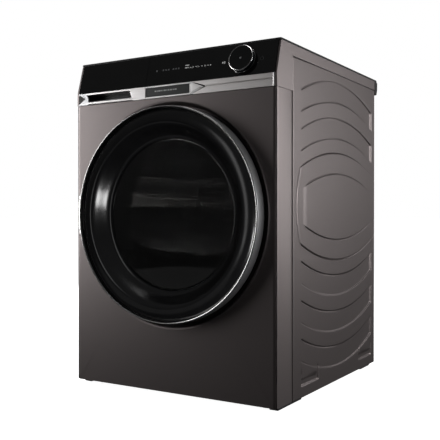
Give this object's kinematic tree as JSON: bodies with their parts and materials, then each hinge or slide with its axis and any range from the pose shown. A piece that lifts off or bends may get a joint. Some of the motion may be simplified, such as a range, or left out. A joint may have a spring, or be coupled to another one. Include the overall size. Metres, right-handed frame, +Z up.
{
  "type": "clothes dryer",
  "caption": "Front-loading condenser clothes dryer with a round glass door, a turning drum, a pull-out water drawer, a sloping control panel and a programme knob.",
  "frame": {"origin": "on the floor, under the middle of the machine's outline", "axes": "+X to the right of a person facing the door, -Y towards that person (the door side), +Z up"},
  "size_m": [0.596, 0.688, 0.85],
  "materials": {
    "graphite_paint": "warm grey metallic paint, satin",
    "black_glass": "black tinted glass, polished",
    "gloss_black": "piano black",
    "smoked_glass": "dark tinted, polished",
    "clear_bowl": "clear moulded",
    "chrome": "polished",
    "satin_aluminium": "brushed",
    "black_plastic": "fine grain",
    "grey_plastic": "fine grain",
    "tank_plastic": "translucent white",
    "zinc_sheet": "galvanised",
    "stainless": "bright stainless",
    "rubber": "matt",
    "felt": "wool felt",
    "cast_housing": "painted dark",
    "aluminium_fins": "mill finish",
    "copper_pipe": "copper",
    "circuit_board": "green solder mask"
  },
  "bodies": {
    "cabinet": {"base_tray": "black_plastic", "side_panel_right": "graphite_paint", "side_panel_left": "graphite_paint", "rear_panel": "zinc_sheet", "rear_duct_cover": "zinc_sheet", "front_panel": "graphite_paint", "front_side_right": "graphite_paint", "front_side_left": "graphite_paint", "front_bulkhead": "black_plastic", "rear_bulkhead": "zinc_sheet", "top_frame": "graphite_paint", "worktop": "black_plastic", "control_glass": "black_glass", "control_board": "circuit_board", "trim_strip": "satin_aluminium", "strip_label": "gloss_black", "tank_sleeve": "grey_plastic", "door_lock": "black_plastic", "motor_bracket": "zinc_sheet", "drive_belt": "rubber", "evaporator": "aluminium_fins", "condenser": "aluminium_fins", "refrigerant_pipe": "copper_pipe", "mains_inlet": "black_plastic", "compressor": "cast_housing", "condensate_pump": "black_plastic", "fan_housing": "grey_plastic", "motor_body": "cast_housing", "door_seal": "rubber", "hinge_bracket": "stainless", "hinge_pin": "stainless", "drum_bearing": "cast_housing", "drum_felt": "felt"},
    "door": {"door_ring": "satin_aluminium", "door_bezel": "gloss_black", "door_window": "smoked_glass", "door_liner": "black_plastic", "door_bowl": "clear_bowl", "hinge_arm": "stainless"},
    "hook": {"door_hook": "grey_plastic"},
    "drawer": {"water_tank": "tank_plastic", "tank_front": "black_glass", "tank_grip": "chrome"},
    "drum": {"drum_shell": "stainless", "drum_shaft": "stainless", "drum_lifter_1": "grey_plastic", "drum_lifter_2": "grey_plastic", "drum_lifter_3": "grey_plastic"},
    "roller_left": {"drum_roller_left": "rubber"},
    "roller_right": {"drum_roller_right": "rubber"},
    "motor_rotor": {"motor_shaft": "stainless", "fan_impeller": "grey_plastic"},
    "idler_arm": {"idler_arm": "zinc_sheet"},
    "idler": {"idler_pulley": "grey_plastic"},
    "knob": {"knob": "gloss_black"},
    "filter": {"lint_filter": "grey_plastic"},
    "foot_front_left": {"foot_1": "rubber"},
    "foot_front_right": {"foot_2": "rubber"},
    "foot_rear_left": {"foot_3": "rubber"},
    "foot_rear_right": {"foot_4": "rubber"}
  },
  "joints": [
    {"name": "door_hinge", "type": "hinge", "parent": "cabinet", "child": "door", "pos_m": [-0.2705, -0.328, 0.4485], "axis": [0, 0, -1], "range_deg": [0, 145]},
    {"name": "hook_pivot", "type": "hinge", "parent": "door", "child": "hook", "pos_m": [0.222, -0.312, 0.4485], "axis": [0, 0, 1], "range_deg": [0, 9], "stiffness_Nm_per_rad": 0.3, "springref_deg": -5.73},
    {"name": "drawer_slide", "type": "slide", "parent": "cabinet", "child": "drawer", "axis": [0, -1, 0], "range_m": [0, 0.42]},
    {"name": "drum_spin", "type": "hinge", "parent": "cabinet", "child": "drum", "pos_m": [0, 0.006, 0.455], "axis": [0, 1, 0], "continuous": true},
    {"name": "roller_left_spin", "type": "hinge", "parent": "cabinet", "child": "roller_left", "pos_m": [-0.17402, -0.204, 0.20647], "axis": [0, 1, 0], "continuous": true},
    {"name": "roller_right_spin", "type": "hinge", "parent": "cabinet", "child": "roller_right", "pos_m": [0.17402, -0.204, 0.20647], "axis": [0, 1, 0], "continuous": true},
    {"name": "motor_spin", "type": "hinge", "parent": "cabinet", "child": "motor_rotor", "pos_m": [0.165, -0.074, 0.118], "axis": [0, 1, 0], "continuous": true},
    {"name": "idler_arm_pivot", "type": "hinge", "parent": "cabinet", "child": "idler_arm", "pos_m": [0.095, 0.043, 0.085], "axis": [0, 1, 0], "range_deg": [-6, 0], "stiffness_Nm_per_rad": 2, "springref_deg": 11.46},
    {"name": "idler_spin", "type": "hinge", "parent": "idler_arm", "child": "idler", "pos_m": [0.05, 0.03, 0.137], "axis": [0, 1, 0], "continuous": true},
    {"name": "knob_turn", "type": "hinge", "parent": "cabinet", "child": "knob", "pos_m": [0.206, -0.30377, 0.806], "axis": [0, -0.9638, 0.2665], "continuous": true},
    {"name": "filter_lift", "type": "slide", "parent": "cabinet", "child": "filter", "axis": [0, 0, 1], "range_m": [0, 0.11]},
    {"name": "foot_front_left_screw", "type": "slide", "parent": "cabinet", "child": "foot_front_left", "axis": [0, 0, -1], "range_m": [0, 0.012]},
    {"name": "foot_front_right_screw", "type": "slide", "parent": "cabinet", "child": "foot_front_right", "axis": [0, 0, -1], "range_m": [0, 0.012]},
    {"name": "foot_rear_left_screw", "type": "slide", "parent": "cabinet", "child": "foot_rear_left", "axis": [0, 0, -1], "range_m": [0, 0.012]},
    {"name": "foot_rear_right_screw", "type": "slide", "parent": "cabinet", "child": "foot_rear_right", "axis": [0, 0, -1], "range_m": [0, 0.012]}
  ],
  "couplings": [
    {"joint": "roller_left_spin", "follows": "drum_spin", "ratio": -11.12},
    {"joint": "roller_right_spin", "follows": "drum_spin", "ratio": -11.12},
    {"joint": "motor_spin", "follows": "drum_spin", "ratio": 23.167},
    {"joint": "idler_spin", "follows": "drum_spin", "ratio": -19.857}
  ]
}
